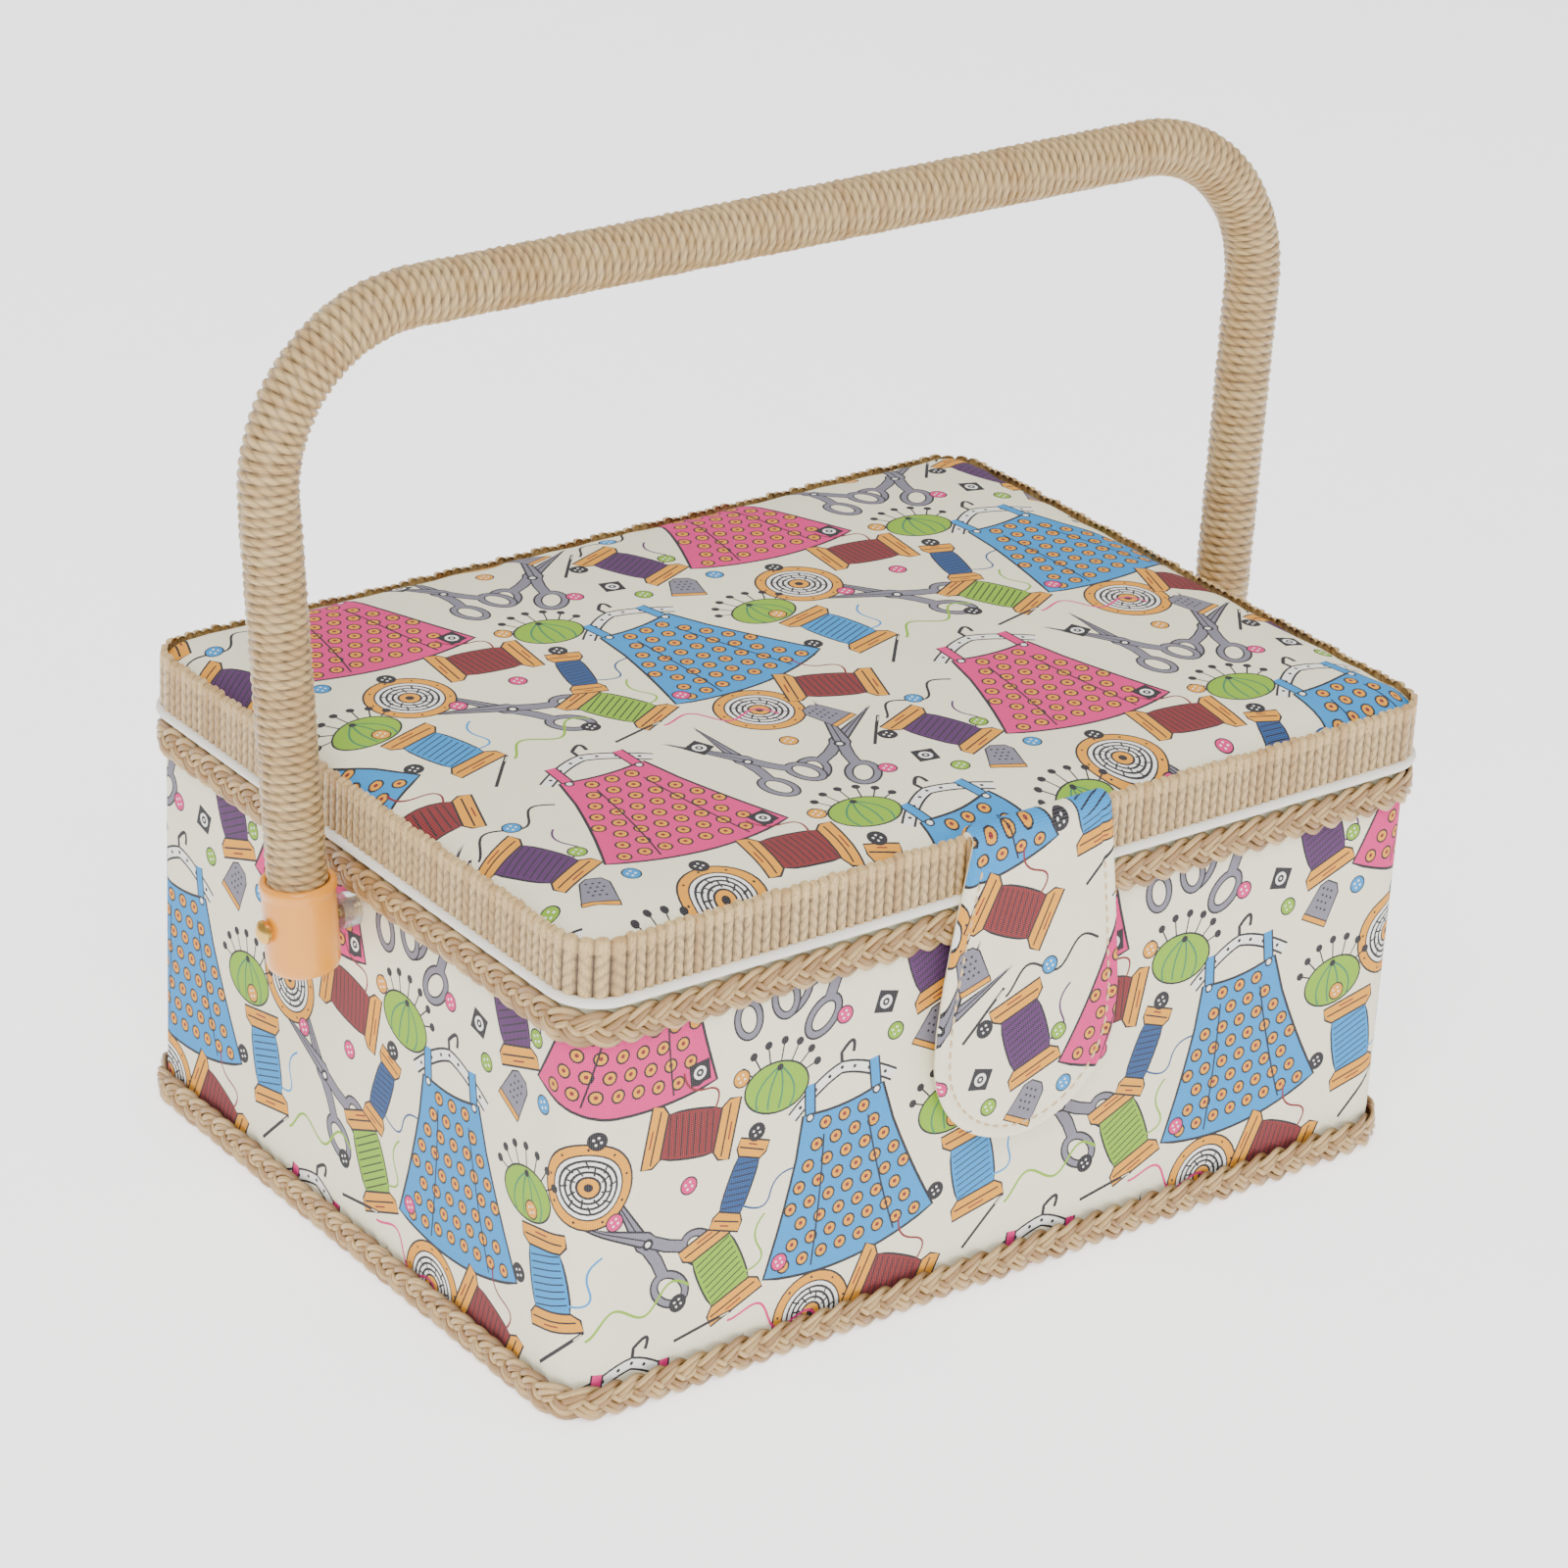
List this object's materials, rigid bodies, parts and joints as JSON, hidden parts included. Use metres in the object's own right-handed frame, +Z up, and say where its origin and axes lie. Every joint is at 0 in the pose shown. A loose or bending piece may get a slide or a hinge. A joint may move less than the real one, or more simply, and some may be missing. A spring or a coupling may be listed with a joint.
{
  "type": "sewing box with trays",
  "caption": "Covered sewing box with a padded hinged lid, hanging front flap, swinging wrapped carrying handle and lift-out divided trays.",
  "frame": {"origin": "middle of the underside of the base, on the surface it stands on", "axes": "+X to the right along the width and the handle pivots, +Y to the back where the lid hinges are, +Z up"},
  "size_m": [0.361, 0.2312, 0.2894],
  "materials": {
    "wood_board": "raw",
    "base_card": "matt",
    "printed_cloth": "woven print",
    "satin_lining": "satin",
    "raffia_plait": "plaited",
    "paper_twine": "glossy twisted",
    "piping_cord": "matt",
    "yellow_plastic": "gloss",
    "brass": "polished",
    "steel": "plain",
    "clear_plastic": "clear",
    "tray_plastic": "moulded",
    "foam_pad": "foam",
    "cushion_felt": "felt",
    "elastic": "ribbed"
  },
  "bodies": {
    "box": {"base_panel": "wood_board", "base_cloth": "base_card", "front_panel": "wood_board", "back_panel": "wood_board", "left_panel": "wood_board", "right_panel": "wood_board", "corner_posts": "wood_board", "body_cover": "printed_cloth", "body_lining": "satin_lining", "floor_pad": "satin_lining", "rim_plait": "raffia_plait", "foot_plait": "raffia_plait", "front_tray_rail": "wood_board", "back_tray_rail": "wood_board", "snap_stud": "brass", "hinge_body_leaves": "brass", "hinge_pins": "steel", "body_hinge_screws": "brass"},
    "lid": {"lid_panel": "wood_board", "lid_frame": "wood_board", "lid_pad": "foam_pad", "lid_cover": "printed_cloth", "lid_band": "paper_twine", "lid_piping": "piping_cord", "lid_lining": "satin_lining", "lid_pocket": "satin_lining", "pocket_elastic": "elastic", "lid_pincushion": "cushion_felt", "hinge_lid_leaves": "brass", "lid_hinge_screws": "brass", "flap_root": "printed_cloth"},
    "flap": {"flap": "printed_cloth", "snap_cap": "brass"},
    "pivots": {"pivot_rivet_left": "brass", "pivot_rivet_right": "brass", "spacer_left": "clear_plastic", "spacer_right": "clear_plastic", "pivot_nuts": "steel"},
    "handle": {"handle_core": "steel", "handle_wrap": "paper_twine", "socket_left": "yellow_plastic", "socket_right": "yellow_plastic"},
    "tray_left": {"tray_left": "tray_plastic"},
    "tray_right": {"tray_right": "tray_plastic"}
  },
  "joints": [
    {"name": "lid_hinge", "type": "hinge", "parent": "box", "child": "lid", "pos_m": [0, 0.1126, 0.1263], "axis": [-1, 0, 0], "range_deg": [0, 100]},
    {"name": "flap_hinge", "type": "hinge", "parent": "lid", "child": "flap", "pos_m": [0, -0.1132, 0.147], "axis": [-1, 0, 0], "range_deg": [0, 110]},
    {"name": "handle_swing", "type": "hinge", "parent": "box", "child": "pivots", "pos_m": [0, 0, 0.1091], "axis": [1, 0, 0], "range_deg": [0, 90]},
    {"name": "handle_fold", "type": "hinge", "parent": "pivots", "child": "handle", "pos_m": [0, 0, 0.1091], "axis": [-1, 0, 0], "range_deg": [0, 90]},
    {"name": "tray_left_lift", "type": "slide", "parent": "box", "child": "tray_left", "axis": [0, 0, 1], "range_m": [0, 0.046]},
    {"name": "tray_right_lift", "type": "slide", "parent": "box", "child": "tray_right", "axis": [0, 0, 1], "range_m": [0, 0.046]}
  ],
  "couplings": [
    {"joint": "handle_fold", "follows": "lid_hinge", "ratio": 0.899},
    {"joint": "tray_left_lift", "follows": "lid_hinge", "m_per_rad": 0.026},
    {"joint": "tray_right_lift", "follows": "lid_hinge", "m_per_rad": 0.026}
  ]
}
